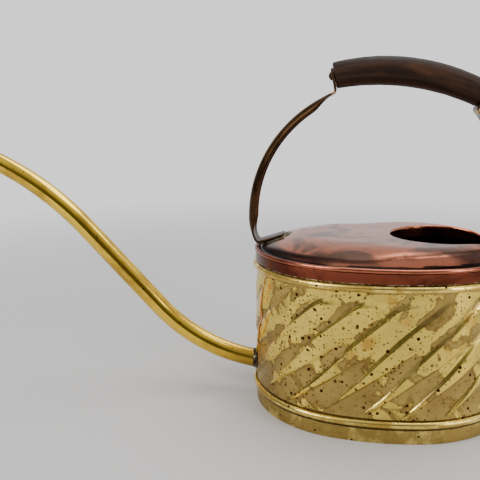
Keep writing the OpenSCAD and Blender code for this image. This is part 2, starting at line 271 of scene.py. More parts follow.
# Base plate. A flat oval of brass sheet laid on the foot's flange inside the wall and soldered
# all round. Only its inside shows, dimly, through the fill hole. It and the wall's lining are
# painted near black: painted shade for the dark inside of the tank.
painted_shade_brass = plain_brass("painted_shade_brass", (58, 46, 28), (34, 26, 18), -0.05, 0.5, 0.65)
base_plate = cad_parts["base_plate"]
base_plate.data.materials.clear()
base_plate.data.materials.append(painted_shade_brass)


# Tank wall. One strip of brass sheet, embossed with slanting flutes before it was bent round the
# oval, then lapped and soldered. The raised flutes are rubbed bright; the ground between is stained.
FLUTE_COUNT = 20
FLUTE_LEAN = math.radians(41)
FLUTE_DEPTH = 1.5 * MM
FLUTE_EASE = 8.5 * MM
DENT_DEPTH = 0.5 * MM
CREASE_HEIGHT = 0.9 * MM
LINING_GAP = 1.4 * MM
PIT_WAVER = 0.8 * MM
WALL_STEPS = 900
WALL_ROWS = 140
flute_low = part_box("lower_bead")[1].z + 0.6 * MM
flute_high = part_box("upper_bead")[0].z - 0.5 * MM
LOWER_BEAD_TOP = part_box("lower_bead")[1].z
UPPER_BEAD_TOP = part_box("upper_bead")[1].z
PITCH = 4 * QUARTER / FLUTE_COUNT
CREASE_FOOT, CREASE_RISE = 17 * MM, 24 * MM


def smooth(low, high, value):
    """0 at low, 1 at high and an easy slope between."""
    t = min(1.0, max(0.0, (value - low) / (high - low)))
    return t * t * (3 - 2 * t)


def flute(along, z):
    """(height 0 to 1, ridge 0 to 1) of the embossing at a spot of the wall."""
    rise = (z - flute_low) / (flute_high - flute_low)
    if rise <= 0 or rise >= 1:
        return 0.0, 0.0
    drift = 2.2 * MM * noise.noise(Vector((along * 28, z * 30, 3.7)))
    phase = (along - (z - flute_low) / math.tan(FLUTE_LEAN) + drift) / PITCH
    index = math.floor(phase)
    uneven = noise.noise(Vector((index * 1.7, 5.1, 0.3)))
    across = abs(phase - index - 0.5) * 2
    width = 0.02 + 0.96 * smooth(-0.02 + 0.06 * uneven, 0.74 + 0.1 * uneven, rise)
    side = (phase - index - 0.5) * 2
    ridge = 1 - smooth(width * 0.55, width + 0.10, across)
    swell = 1 - 0.35 * side * side
    fade = smooth(0.0, 0.10, rise) * smooth(1.0, 0.86, rise)
    return ridge * swell * fade, ridge * smooth(0.0, 0.10, rise)


def crease(along, z):
    """A narrow leaf-shaped fold in the wall beside the spout, on each side of it."""
    rise = (z - flute_low) / (flute_high - flute_low)
    if rise <= 0.12 or rise >= 0.98:
        return 0.0
    off = abs(along - 2 * QUARTER) - CREASE_FOOT - CREASE_RISE * rise
    width = 2.2 * MM * math.sin(min(1.0, max(0.0, (rise - 0.12) / 0.86)) * math.pi) + 0.4 * MM
    return math.exp(-(off / width) ** 2)


wall_finish = Finish("embossed_brass")
ridge = wall_finish.attribute("ridge")
blotch = wall_finish.clouds(46, 7, 0.58, warp=0.6)
patchy = wall_finish.calc("ADD", wall_finish.calc("MULTIPLY", ridge, 0.16), blotch)
clean = wall_finish.step(patchy, 0.555, 0.59)
edge = wall_finish.calc("MULTIPLY", wall_finish.step(patchy, 0.515, 0.555),
                        wall_finish.step(patchy, 0.595, 0.57))
veil = wall_finish.clouds(38, 4, 0.5)
bright = wall_finish.mix(wall_finish.step(veil, 0.38, 0.66), paint(236, 206, 96), paint(218, 190, 90))
warm = wall_finish.step(wall_finish.clouds(55, 5, 0.6), 0.56, 0.72)
bright = wall_finish.mix(warm, bright, paint(204, 160, 70))
stained = wall_finish.mix(wall_finish.step(veil, 0.35, 0.65), paint(160, 134, 74), paint(186, 160, 88))
tone = wall_finish.mix(clean, stained, bright)
tone = wall_finish.mix(wall_finish.calc("MULTIPLY", edge, 0.55), tone, paint(112, 84, 38))
haze = wall_finish.step(wall_finish.clouds(260, 5, 0.65), 0.52, 0.74, 0, 0.5)
tone = wall_finish.mix(haze, tone, paint(146, 112, 52))
cluster = wall_finish.step(wall_finish.clouds(48, 3, 0.5), 0.4, 0.55, 0.35, 1)
unrolled = wall_finish.attribute("unrolled", "Vector")
waver = wall_finish.add("TexNoise", {}, {"Vector": unrolled, "Scale": 700.0}).outputs["Color"]
waver = wall_finish.add("VectorMath", {"operation": "SCALE"}, {0: waver, "Scale": PIT_WAVER}).outputs[0]
unrolled = wall_finish.add("VectorMath", {"operation": "ADD"}, {0: unrolled, 1: waver}).outputs[0]
pits = wall_finish.calc("MULTIPLY", wall_finish.spots(215, 0.42, 0.24, unrolled, True), cluster)
specks = wall_finish.calc("MULTIPLY", wall_finish.spots(400, 0.5, 0.27, unrolled, True), cluster)
dark = wall_finish.calc("MAXIMUM", pits, wall_finish.calc("MULTIPLY", specks, 0.8), True)
# Painted light on the folds beside the spout: darker where each fold starts to rise, painted shade, and
# bright orange along its middle, a painted highlight.
fold_shade_and_highlight = wall_finish.attribute("fold")
tone = wall_finish.mix(wall_finish.step(fold_shade_and_highlight, 0.15, 0.5), tone, paint(96, 62, 24))
tone = wall_finish.mix(wall_finish.step(fold_shade_and_highlight, 0.55, 0.85), tone, paint(236, 160, 62))
level = wall_finish.add("SeparateXYZ", {}, {0: wall_finish.place}).outputs[2]
# Darker in a band from 1.6 mm above the lower bead's top downward, and from 0.8 mm under the upper bead's
# top upward.
bead_band_dark = wall_finish.calc("MAXIMUM", wall_finish.step(level, LOWER_BEAD_TOP + 1.6 * MM, LOWER_BEAD_TOP + 0.6 * MM),
                         wall_finish.step(level, UPPER_BEAD_TOP - 0.8 * MM, UPPER_BEAD_TOP))
tone = wall_finish.mix(wall_finish.calc("MULTIPLY", bead_band_dark, 0.85), tone, paint(48, 36, 20))
wall_finish.colour(wall_finish.mix(dark, tone, paint(58, 32, 12)))
rough = wall_finish.step(clean, 0, 1, 0.38, 0.2)
wall_finish.gloss(wall_finish.calc("ADD", rough, wall_finish.calc("MULTIPLY", dark, 0.3)))
grain = wall_finish.calc("MULTIPLY", wall_finish.clouds(520, 4, 0.6), 0.2)
wall_finish.relief(wall_finish.calc("SUBTRACT", grain, dark), 0.16, 0.7)

wall_points = []
ridge_values = []
fold_values = []
for row in range(WALL_ROWS + 1):
    z = wall_low.z + (wall_high.z - wall_low.z) * row / WALL_ROWS
    for i in range(WALL_STEPS):
        along = 4 * QUARTER * i / WALL_STEPS
        height, ridge_here = flute(along, z)
        fold = crease(along, z)
        sunk = 0.5 * smooth(0, FLUTE_EASE, z - flute_low) * smooth(0, FLUTE_EASE, flute_high - z)
        shift = FLUTE_DEPTH * (height - sunk)
        dent = DENT_DEPTH * noise.noise(Vector((along * 35, z * 40, 9.0)))
        inside = 1.0 if flute_low < z < flute_high else 0.0
        x, y = oval_spot(along, shift + inside * dent + CREASE_HEIGHT * fold)
        wall_points.append((x, y, z))
        ridge_values.append(ridge_here)
        fold_values.append(fold)
LINING_STEP = 10
for row in range(WALL_ROWS, -1, -LINING_STEP):
    z = wall_low.z + (wall_high.z - wall_low.z) * row / WALL_ROWS
    lining = -SHEET - (LINING_GAP if flute_low < z < flute_high else 0)
    for i in range(WALL_STEPS):
        x, y = oval_spot(4 * QUARTER * i / WALL_STEPS, lining)
        wall_points.append((x, y, z))
        ridge_values.append(0.0)
        fold_values.append(0.0)
wall_rows = WALL_ROWS + 1 + WALL_ROWS // LINING_STEP + 1
wall = new_piece("tank_wall", wall_points, grid_faces(wall_rows, WALL_STEPS, True, True),
                 wall_finish.material, "body_wall")
# The lining inside the wall takes the same near-black brass, painted shade for the tank's dark inside.
wall.data.materials.append(painted_shade_brass)
for face in wall.data.polygons:
    if min(face.vertices) >= (WALL_ROWS + 1) * WALL_STEPS:
        face.material_index = 1
mark(wall, "ridge", ridge_values)
mark(wall, "fold", fold_values)
flat_values = []
for index in range(len(wall_points)):
    flat_values += [4 * QUARTER * (index % WALL_STEPS) / WALL_STEPS, wall_points[index][2], 0.0]
mark(wall, "unrolled", flat_values, "FLOAT_VECTOR")


# Beads. Two half-round brass wires soldered round the wall, one above the foot and one under the
# copper band. Handling keeps them the brightest brass on the can.
bead_brass = plain_brass("bead_brass", (250, 222, 120), (196, 164, 80), 0.08, 0.12, 0.28)
BEAD_POINTS = 14
for node, name in (("lower_bead", "lower_wire"), ("upper_bead", "upper_wire")):
    low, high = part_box(node)
    middle, radius = (low.z + high.z) / 2, (high.z - low.z) / 2
    profile = [(radius * math.cos(a), middle + radius * math.sin(a))
               for a in (math.radians(-90 + 180 * i / BEAD_POINTS) for i in range(BEAD_POINTS + 1))]
    profile += [(-0.2 * MM, middle + radius * 0.9), (-0.2 * MM, middle - radius * 0.9)]
    oval_sweep(name, profile, 400, bead_brass, node, 0.16 * MM)


# Copper band and ridge. An upright strip of copper stands round the top of the wall, and its upper
# edge is rolled over into a round ridge that stiffens the rim.
COPPER = 0.7 * MM
band_low, band_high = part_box("copper_band")
ridge_low, ridge_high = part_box("rolled_ridge")
band_out = band_high.x - wall_high.x
ridge_radius = (ridge_high.z - ridge_low.z) / 2
ridge_middle = (ridge_high.z + ridge_low.z) / 2


def copper_finish(name, light, cloud_and_reflection, stain, gloss):
    """Copper with clouds from handling, on the dome grey-brown clouds of painted reflection, and blots of
    stain; where the edge attribute is set it is painted dark: painted shade and dark reflection along the
    dome's rim, near black in the groove.
    """
    finish = Finish(name)
    soft = finish.clouds(20, 5, 0.55, warp=0.8)
    tone = finish.mix(finish.step(soft, 0.44, 0.58), paint(*light), paint(*cloud_and_reflection))
    blots = finish.step(finish.clouds(95, 6, 0.62), 0.54, 0.70)
    tone = finish.mix(finish.calc("MULTIPLY", blots, 0.55), tone, paint(*stain))
    specks = finish.spots(520, 0.14, 0.30)
    tone = finish.mix(finish.calc("MULTIPLY", specks, 0.7), tone, paint(70, 34, 22))
    ragged = finish.calc("MULTIPLY", finish.clouds(60, 3), 0.4)
    # Painted shade and dark reflection where the edge attribute is set: dark copper along the dome's rim,
    # near black in the groove.
    edge = finish.calc("ADD", finish.attribute("edge"), ragged)
    tone = finish.mix(finish.step(edge, 0.62, 0.78, 0, 0.9), tone, paint(60, 31, 21))
    tone = finish.mix(finish.step(edge, 1.02, 1.1), tone, paint(22, 12, 8))
    finish.colour(tone)
    fine = finish.clouds(300, 5, 0.6)
    finish.gloss(finish.calc("ADD", finish.step(soft, 0.3, 0.7, gloss, gloss + 0.12),
                             finish.calc("MULTIPLY", fine, 0.1)))
    finish.relief(finish.calc("ADD", fine, finish.calc("MULTIPLY", soft, 2.0)), 0.05, 0.5)
    return finish.material


band_copper = copper_finish("band_copper", (120, 62, 44), (84, 41, 28), (52, 24, 16), 0.1)
band_profile = rounded([(band_out - COPPER, band_low.z), (band_out, band_low.z), (band_out, band_high.z),
                        (band_out - COPPER, band_high.z)], 0.25 * MM)
oval_sweep("top_band", band_profile, 400, band_copper, "copper_band", 0.14 * MM)
RIDGE_POINTS = 20
ridge_turns = [math.tau * i / RIDGE_POINTS for i in range(RIDGE_POINTS)]
ridge_profile = [(ridge_radius * math.cos(a), ridge_middle + ridge_radius * math.sin(a))
                 for a in ridge_turns]
ridge_copper = copper_finish("ridge_copper", (176, 104, 78), (142, 78, 56), (96, 50, 34), 0.1)
oval_sweep("top_ridge", ridge_profile, 400, ridge_copper, "rolled_ridge", 0.12 * MM)


# Dome. The can's top, raised by hammering from one sheet of copper. The fill hole was cut near the
# back and its edge turned down inside; the rim is seamed into the rolled ridge.
dome_low, dome_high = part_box("copper_dome")
GROOVE_INSET = 2.6 * MM
SHOULDER = 42 * MM
HOLE_X = 43 * MM
HOLE_RADIUS = 36 * MM
HOLE_FOLD = 1.4 * MM
NECK_LIFT = 1 * MM
REAR_FULLNESS = 0.9
RIM_DIPS = (0.5 * MM, 0.35 * MM, 0.1 * MM)
groove_z = dome_low.z + COPPER
crown_z = dome_high.z
dome_span = SHOULDER - GROOVE_INSET
dome_arc = (dome_span ** 2 + (crown_z - groove_z) ** 2) / (2 * (crown_z - groove_z))


def dome_z(x, y):
    """Height of the dome's outer face, which is fuller beside the fill hole than at the front."""
    inset = max(GROOVE_INSET, inset_of(x, y))
    full = 1 + REAR_FULLNESS * smooth(-20 * MM, 40 * MM, x) * smooth(7 * MM, 30 * MM, abs(y))
    inset = min(SHOULDER, GROOVE_INSET + (inset - GROOVE_INSET) * full)
    level = crown_z - dome_arc + math.sqrt(dome_arc ** 2 - max(0.0, SHOULDER - inset) ** 2)
    hammer = 0.22 * MM * noise.noise(Vector((x * 38, y * 38, 1.3)))
    return level + hammer * smooth(GROOVE_INSET, 12 * MM, inset)


def rim_reach(turn, inset):
    """How far the line at that inset lies from the fill hole's centre, in the direction turn."""
    near, far = 0.0, 0.2
    for _ in range(40):
        middle = (near + far) / 2
        x, y = HOLE_X + middle * math.cos(turn), middle * math.sin(turn)
        if inset_of(x, y) > inset and abs(x) < wall_high.x:
            near = middle
        else:
            far = middle
    return near


DOME_STEPS = 300
DOME_ROWS = 60
NECK_ROWS = 12
FOLD_ROWS = 6
neck_low = groove_z + NECK_LIFT - COPPER
dome_points = []
for row in range(DOME_ROWS + NECK_ROWS):
    for i in range(DOME_STEPS):
        turn = 2 * math.pi * i / DOME_STEPS
        rim = rim_reach(turn, GROOVE_INSET - 0.7 * MM)
        inner = HOLE_RADIUS + HOLE_FOLD
        if row <= DOME_ROWS:
            t = 1 - (1 - row / DOME_ROWS) ** 1.6
            reach = rim + (inner - rim) * t
            x, y = HOLE_X + reach * math.cos(turn), reach * math.sin(turn)
            z = dome_z(x, y)
            if row < len(RIM_DIPS):
                z -= RIM_DIPS[row]
        else:
            k = row - DOME_ROWS
            edge_x, edge_y = HOLE_X + inner * math.cos(turn), inner * math.sin(turn)
            top = dome_z(edge_x, edge_y)
            if k <= FOLD_ROWS:
                bend = math.pi / 2 * k / FOLD_ROWS
                reach = inner - HOLE_FOLD * math.sin(bend)
                z = top - HOLE_FOLD * (1 - math.cos(bend))
            else:
                reach = HOLE_RADIUS + 0.15 * MM * noise.noise(Vector((turn * 3, k * 0.4, 2.0)))
                down = (k - FOLD_ROWS) / (NECK_ROWS - 1 - FOLD_ROWS)
                z = top - HOLE_FOLD + (neck_low - top + HOLE_FOLD) * down
            x, y = HOLE_X + reach * math.cos(turn), reach * math.sin(turn)
        dome_points.append((x, y, z))
# On the dome the grey-brown second tone of the clouds is painted reflection.
dome_copper = copper_finish("dome_copper", (176, 106, 78), (96, 68, 54), (80, 50, 36), 0.1)
dome = new_piece("top_dome", dome_points, grid_faces(DOME_ROWS + NECK_ROWS, DOME_STEPS, False, True),
                 dome_copper, "copper_dome")
# Marks the dome's rim for painted shade: full in and beside the groove, fading out between 8 and 15 mm in.
shaded_rim_values = []
for x, y, _ in dome_points:
    inset = inset_of(x, y)
    shaded_rim_values.append(1.0 if inset < GROOVE_INSET + 2 * MM else 0.75 * smooth(15 * MM, 8 * MM, inset))
mark(dome, "edge", shaded_rim_values)
thicken = dome.modifiers.new("sheet", "SOLIDIFY")
thicken.thickness = COPPER
thicken.offset = -1


# Solder under the copper band. It was run in from below with an iron, and stands out as a thin,
# pale, uneven line on top of the wall.
solder_finish = Finish("soft_solder")
solder_tone = solder_finish.mix(solder_finish.step(solder_finish.clouds(240, 5, 0.6), 0.42, 0.6),
                                paint(70, 56, 36), paint(196, 186, 160))
solder_finish.colour(solder_tone)
solder_finish.gloss(solder_finish.step(solder_finish.clouds(500), 0.3, 0.7, 0.35, 0.6))
solder_finish.relief(solder_finish.clouds(380, 4), 0.2, 0.8)
solder_low, solder_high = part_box("top_solder")
solder_out = solder_high.x - wall_high.x
solder_profile = rounded([(0, solder_low.z), (solder_out * 0.7, solder_low.z), (solder_out, solder_high.z),
                          (0, solder_high.z)], 0.2 * MM)
oval_sweep("top_solder_line", solder_profile, 500, solder_finish.material, "top_solder",
           0.35 * MM)


# Spout. A drawn brass tube, bent twice: up from the wall in a wide curve and over again to a
# nearly level tip. It was filled with pitch for bending, so it kept its round section.
SPOUT_WALL = 0.7 * MM
SPOUT_RADIUS = 7.2 * MM
SPOUT_REACH = 4 * MM
SPOUT_GAP = 1 * MM
SPOUT_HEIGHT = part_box("lower_bead")[1].z + SPOUT_GAP + SPOUT_RADIUS
ROOT_SLOPE = math.radians(8)
SPOUT_RUNS = [(6 * MM, None), (128 * MM, math.radians(38.7)), (84 * MM, None),
              (235 * MM, math.radians(-34.7)), (24 * MM, None)]


def path_spots(start, runs, spacing):
    """Points along a run of straights and bends: (x, z, slope, distance from the start)."""
    x, z, slope = start
    spots = [(x, z, slope, 0.0)]
    gone = 0.0
    for size, turn in runs:
        length = size if turn is None else size * abs(turn)
        count = max(1, round(length / spacing))
        x0, z0, slope0 = x, z, slope
        for i in range(1, count + 1):
            part = length * i / count
            if turn is None:
                x, z = x0 + part * math.cos(slope0), z0 + part * math.sin(slope0)
            else:
                side = 1 if turn > 0 else -1
                slope = slope0 + side * part / size
                x = x0 + side * size * (math.sin(slope) - math.sin(slope0))
                z = z0 - side * size * (math.cos(slope) - math.cos(slope0))
            spots.append((x, z, slope, gone + part))
        gone += length
    return spots


def path_sweep(name, spots, section, flip, material, replaced):
    """Sweeps a section (across, out of plane) along spots; section may differ from spot to spot."""
    points = []
    straight = []
    count = len(section(0, spots[0]))
    for index, spot in enumerate(spots):
        x, z, slope, gone = spot
        for side, depth in section(index, spot):
            points.append((flip * (x - side * math.sin(slope)), depth, z + side * math.cos(slope)))
            straight.append((gone, side, depth))
    faces = grid_faces(len(spots), count, False, True)
    faces.append(tuple(range(count)))
    faces.append(tuple(range((len(spots) - 1) * count, len(spots) * count)))
    piece = new_piece(name, points, faces, material, replaced)
    mark(piece, "straight", [value for spot in straight for value in spot], "FLOAT_VECTOR")
    return piece


spout_finish = Finish("spout_brass")
along_tube = spout_finish.attribute("straight", "Vector")
lines = spout_finish.clouds(1.0, 4, 0.6, spout_finish.stretch(along_tube, (25, 700, 700)))
blot = spout_finish.clouds(1.0, 5, 0.6, spout_finish.stretch(along_tube, (45, 90, 90)))
tube_tone = spout_finish.mix(spout_finish.step(blot, 0.42, 0.7), paint(238, 198, 66), paint(186, 148, 52))
tube_tone = spout_finish.mix(spout_finish.step(lines, 0.55, 0.75, 0, 0.45), tube_tone, paint(140, 104, 44))
root = spout_finish.add("SeparateXYZ", {}, {0: along_tube}).outputs[0]
uneven = spout_finish.calc("ADD", root, spout_finish.calc("MULTIPLY", blot, 0.05))
tarnish = spout_finish.step(uneven, 0.07, 0.03)
tube_tone = spout_finish.mix(spout_finish.calc("MULTIPLY", tarnish, 0.65), tube_tone, paint(120, 92, 44))
tube_pits = spout_finish.spots(420, 0.12, 0.26)
tube_tone = spout_finish.mix(spout_finish.calc("MULTIPLY", tube_pits, 0.8), tube_tone, paint(70, 42, 16))
spout_finish.colour(tube_tone)
spout_finish.gloss(spout_finish.calc("ADD", spout_finish.step(blot, 0.35, 0.7, 0.1, 0.2),
                                     spout_finish.calc("MULTIPLY", tarnish, 0.15)))
spout_finish.relief(lines, 0.03, 0.5)
tube_start = (wall_high.x - SPOUT_REACH, SPOUT_HEIGHT - SPOUT_REACH * math.tan(ROOT_SLOPE), ROOT_SLOPE)
tube_spots = path_spots(tube_start, SPOUT_RUNS, 2.5 * MM)
tube_length = tube_spots[-1][3]
TUBE_POINTS = 48


def tube_radius(gone, inner):
    swell = 0.12 * MM * noise.noise(Vector((gone * 30, 4.2, 1.1)))
    belly = 0.25 * MM * math.sin(math.pi * gone / tube_length)
    radius = SPOUT_RADIUS - 0.12 * MM + belly + swell
    return radius - SPOUT_WALL if inner else radius


tube_points, tube_straight = [], []
rings = [(spot, False) for spot in tube_spots] + [(spot, True) for spot in reversed(tube_spots)]
for (x, z, slope, gone), inner in rings:
    radius = tube_radius(gone, inner)
    for k in range(TUBE_POINTS):
        a = 2 * math.pi * k / TUBE_POINTS
        side, depth = radius * math.cos(a), radius * math.sin(a)
        tube_points.append((-(x - side * math.sin(slope)), depth, z + side * math.cos(slope)))
        tube_straight.append((gone, side, depth))
tube = new_piece("spout_pipe", tube_points, grid_faces(len(rings), TUBE_POINTS, True, True),
                 spout_finish.material, "spout_tube")
mark(tube, "straight", [value for spot in tube_straight for value in spot], "FLOAT_VECTOR")


# Solder round the spout's root. A fillet built up with the iron where the tube passes the wall,
# dark with old flux.
dark_solder = Finish("old_solder")
dark_tone = dark_solder.mix(dark_solder.step(dark_solder.clouds(220, 6, 0.65), 0.4, 0.62),
                            paint(44, 38, 28), paint(126, 116, 92))
dark_solder.colour(dark_tone)
dark_solder.gloss(dark_solder.step(dark_solder.clouds(420), 0.3, 0.7, 0.4, 0.7))
dark_solder.relief(dark_solder.clouds(300, 5), 0.25, 0.9)
FILLET = 2.3 * MM
FILLET_ROWS = 7
COLLAR_POINTS = 72
collar_points = []
for k in range(COLLAR_POINTS):
    a = 2 * math.pi * k / COLLAR_POINTS
    lump = 1 + 0.35 * noise.noise(Vector((math.cos(a) * 2.2, math.sin(a) * 2.2, 6.0)))
    for row in range(FILLET_ROWS):
        t = row / (FILLET_ROWS - 1)
        radius = SPOUT_RADIUS + FILLET * lump * (1 - t) ** 1.7
        side, depth = radius * math.cos(a), radius * math.sin(a)
        face = END_X + math.sqrt(max(0.0, END_RADIUS ** 2 - depth ** 2))
        out = face + FILLET * 1.5 * lump * t ** 1.5
        z = SPOUT_HEIGHT + side + (out - wall_high.x) * math.tan(ROOT_SLOPE)
        collar_points.append((-out, depth, z))
    radius = SPOUT_RADIUS - 0.2 * MM
    side, depth = radius * math.cos(a), radius * math.sin(a)
    face = END_X + math.sqrt(END_RADIUS ** 2 - depth ** 2)
    collar_points.append((-(face + FILLET * 1.4), depth, SPOUT_HEIGHT + side))
    collar_points.append((-(face - 1.2 * MM), depth, SPOUT_HEIGHT + side))
new_piece("spout_fillet", collar_points, grid_faces(COLLAR_POINTS, FILLET_ROWS + 2, True, True),
          dark_solder.material, "spout_solder")


# Handle straps. Two brass straps, bent cold with their edges turned in: a foot soldered on the top,
# a flare outward, a long curve up to the grip, and a round-ended tab screwed to the grip's end.
STRAP_WIDTH = 18 * MM
STRAP_THICKNESS = 1.8 * MM
FOOT_LENGTH = {"front": 20 * MM, "rear": 8 * MM}
FLARE_RADIUS = 31 * MM
FLARE_TURN = math.radians(37)
TAB_DROP = 11.5 * MM
TAB_RISE = 5.5 * MM
GRIP_CURVE = 153.6 * MM
GRIP_X = -5.6 * MM
GRIP_TOP = 239 * MM
ROOT_INSET = 1 * MM
FOOT_GAP = 0.3 * MM
FOLD_RADIUS = 2.2 * MM
EDGE_DEPTH = 4.8 * MM
EDGE_RUN = 20 * MM
STRAP_POINTS = 20
GRIP_ENDS = {"front": math.radians(-11), "rear": math.radians(27.4)}
foot_rise = max((dome_z(wall_high.x - n * MM, 0) - ridge_high.z) / (n * MM - ROOT_INSET)
                for n in range(5, 22))
FOOT_SLOPE = math.atan(foot_rise)

strap_finish = Finish("strap_brass")
strap_place = strap_finish.attribute("straight", "Vector")
strap_cloud = strap_finish.clouds(1.0, 5, 0.6, strap_finish.stretch(strap_place, (60, 120, 120)))
# Painted highlight: the strap is painted bright along the middle of its outer face and in a patch at the
# knee.
crest_and_knee_highlight = strap_finish.attribute("crest_and_knee_highlight")
strap_clouded = strap_finish.step(strap_cloud, 0.4, 0.65)
strap_tone = strap_finish.mix(strap_clouded, paint(44, 29, 17), paint(72, 49, 28))
crest_and_knee_highlight_level = strap_finish.calc("ADD", crest_and_knee_highlight, strap_finish.calc("MULTIPLY", strap_cloud, 0.3))
strap_tone = strap_finish.mix(strap_finish.step(crest_and_knee_highlight_level, 0.75, 1.0), strap_tone, paint(226, 184, 100))
strap_specks = strap_finish.spots(500, 0.2, 0.3, strap_place)
strap_specks = strap_finish.calc("MULTIPLY", strap_specks, 0.7)
strap_tone = strap_finish.mix(strap_specks, strap_tone, paint(38, 22, 10))
strap_finish.colour(strap_tone)
strap_finish.gloss(strap_finish.step(strap_cloud, 0.3, 0.7, 0.28, 0.44))
strap_grain = strap_finish.clouds(1.0, 4, 0.6, strap_finish.stretch(strap_place, (80, 600, 600)))
strap_finish.relief(strap_grain, 0.06, 0.5)


def grip_spot(arc):
    return GRIP_X + GRIP_CURVE * math.sin(arc), GRIP_TOP - GRIP_CURVE + GRIP_CURVE * math.cos(arc)


def strap_runs(arc, foot):
    """The strap's start and runs on its own side, from the foot's inner end up to the tab's end."""
    sign = -1 if arc < 0 else 1
    lean = abs(arc)
    x, z = grip_spot(arc)
    knee = (sign * x + STRAP_THICKNESS / 2 * math.cos(lean) - TAB_DROP * math.sin(lean),
            z - STRAP_THICKNESS / 2 * math.sin(lean) - TAB_DROP * math.cos(lean))
    root = (wall_high.x - ROOT_INSET, ridge_high.z + FOOT_GAP + STRAP_THICKNESS / 2)
    upright = (root[0] + FLARE_RADIUS * (1 - math.cos(FLARE_TURN)),
               root[1] + FLARE_RADIUS * math.sin(FLARE_TURN))
    dx, dz = upright[0] - knee[0], knee[1] - upright[1]
    long_radius = (dx * dx + dz * dz) / (2 * dx)
    long_turn = math.atan2(dz, knee[0] - upright[0] + long_radius)
    start = (root[0] - foot * math.cos(FOOT_SLOPE), root[1] + foot * math.sin(FOOT_SLOPE),
             -FOOT_SLOPE)
    fold = math.pi / 2 - FLARE_TURN + FOOT_SLOPE
    pull = FOLD_RADIUS * math.tan(fold / 2)
    share = pull / FLARE_RADIUS
    knee_fold = long_turn + lean
    knee_pull = FOLD_RADIUS * math.tan(knee_fold / 2)
    knee_share = knee_pull / long_radius
    runs = [(foot - pull, None), (FOLD_RADIUS, fold + share), (FLARE_RADIUS, FLARE_TURN - share),
            (long_radius, long_turn - knee_share), (FOLD_RADIUS, knee_share - knee_fold),
            (TAB_DROP + TAB_RISE - knee_pull, None)]
    return sign, start, runs


def strap_section(width, depth):
    """The strap's section, a gutter whose edges are turned in by depth, with softened edges."""
    half, thick = width / 2, STRAP_THICKNESS / 2
    outer, inner = [], []
    for i in range(STRAP_POINTS + 1):
        a = -1 + 2 * i / STRAP_POINTS
        drop = depth * abs(a) ** 3.0
        thin = thick * (1 - 0.55 * abs(a) ** 14)
        outer.append((drop - thin, half * a))
        inner.append((drop + thin, (half - 0.45 * depth * abs(a) ** 3.0 * 0.5) * a))
    return outer + inner[::-1]


for which, arc in GRIP_ENDS.items():
    sign, start, runs = strap_runs(arc, FOOT_LENGTH[which])
    spots = path_spots(start, runs, 1.4 * MM)
    total = spots[-1][3]
    curve_from = runs[0][0] + FOLD_RADIUS * abs(runs[1][1])
    curve_to = total - runs[5][0] - FOLD_RADIUS * abs(runs[4][1])

    def section(index, spot, total=total, curve_from=curve_from, curve_to=curve_to):
        left = total - spot[3]
        width = STRAP_WIDTH
        if left < TAB_RISE:
            width = max(1.5 * MM, STRAP_WIDTH * math.sqrt(max(0.0, 1 - (1 - left / TAB_RISE) ** 2)))
        if spot[3] < 3 * MM:
            width *= 0.8 + 0.2 * spot[3] / (3 * MM)
        width += 0.3 * MM * noise.noise(Vector((spot[3] * 40, 2.0, 7.0)))
        depth = EDGE_DEPTH * smooth(curve_from, curve_from + EDGE_RUN, spot[3]) * smooth(
            curve_to, curve_to - EDGE_RUN, spot[3]) if curve_from < spot[3] < curve_to else 0.0
        return strap_section(width, depth)

    strap = path_sweep(which + "_handle_strap", spots, section, sign, strap_finish.material,
                       which + "_strap")
    straight = strap.data.attributes["straight"].data
    # Where the strap is painted bright: full along the middle of the outer face, fading towards the edges,
    # and a patch at the knee, all painted highlight.
    values = []
    for item in straight:
        across = abs(item.vector[2]) / (STRAP_WIDTH / 2)
        crest = 1.0 - smooth(0.3, 0.8, across) if item.vector[1] < 0 else 0.0
        values.append(max(crest, 0.72 * math.exp(-((item.vector[0] - curve_to) / (6 * MM)) ** 2)))
    mark(strap, "crest_and_knee_highlight", values)


# Solder round the straps' feet. It ran out over the copper in a lumpy puddle and was never cleaned
# off.
for which, sign in (("front", -1), ("rear", 1)):
    reach_x, reach_y = (11.5 * MM if which == "front" else 4.6 * MM), 11.5 * MM
    middle_x = wall_high.x - GROOVE_INSET - 0.6 * MM - reach_x
    blob_points = []
    RINGS, SPOKES = 14, 64
    for ring in range(RINGS + 1):
        t = ring / RINGS
        for k in range(SPOKES):
            a = 2 * math.pi * k / SPOKES
            lump = 1 + 0.2 * noise.noise(Vector((math.cos(a) * 1.6, math.sin(a) * 1.6, sign * 3.0)))
            x = middle_x + reach_x * lump * t * math.cos(a)
            y = reach_y * lump * t * math.sin(a)
            x = min(x, wall_high.x - GROOVE_INSET - 0.8 * MM)
            rough_top = 0.5 * MM * noise.noise(Vector((x * 260, y * 260, 4.0)))
            thick = (1.7 * MM + rough_top) * (1 - t ** 3)
            blob_points.append((sign * x, y, dome_z(sign * x, y) + thick))
    top_count = len(blob_points)
    for ring in range(RINGS + 1):
        for k in range(SPOKES):
            x, y, z = blob_points[ring * SPOKES + k]
            blob_points.append((x, y, dome_z(x, y) - 0.1 * MM))
    faces = grid_faces(RINGS + 1, SPOKES, False, True)
    under = [tuple(top_count + v for v in reversed(face)) for face in faces]
    rim = []
    for k in range(SPOKES):
        k2 = (k + 1) % SPOKES
        a, b = RINGS * SPOKES + k, RINGS * SPOKES + k2
        rim.append((a, b, top_count + b, top_count + a))
    faces = faces + under + rim
    blob = new_piece(which + "_foot_puddle", blob_points, faces, dark_solder.material,
                     which + "_foot_solder")
    bm = bmesh.new()
    bm.from_mesh(blob.data)
    bmesh.ops.remove_doubles(bm, verts=bm.verts, dist=0.01 * MM)
    bm.to_mesh(blob.data)
    bm.free()


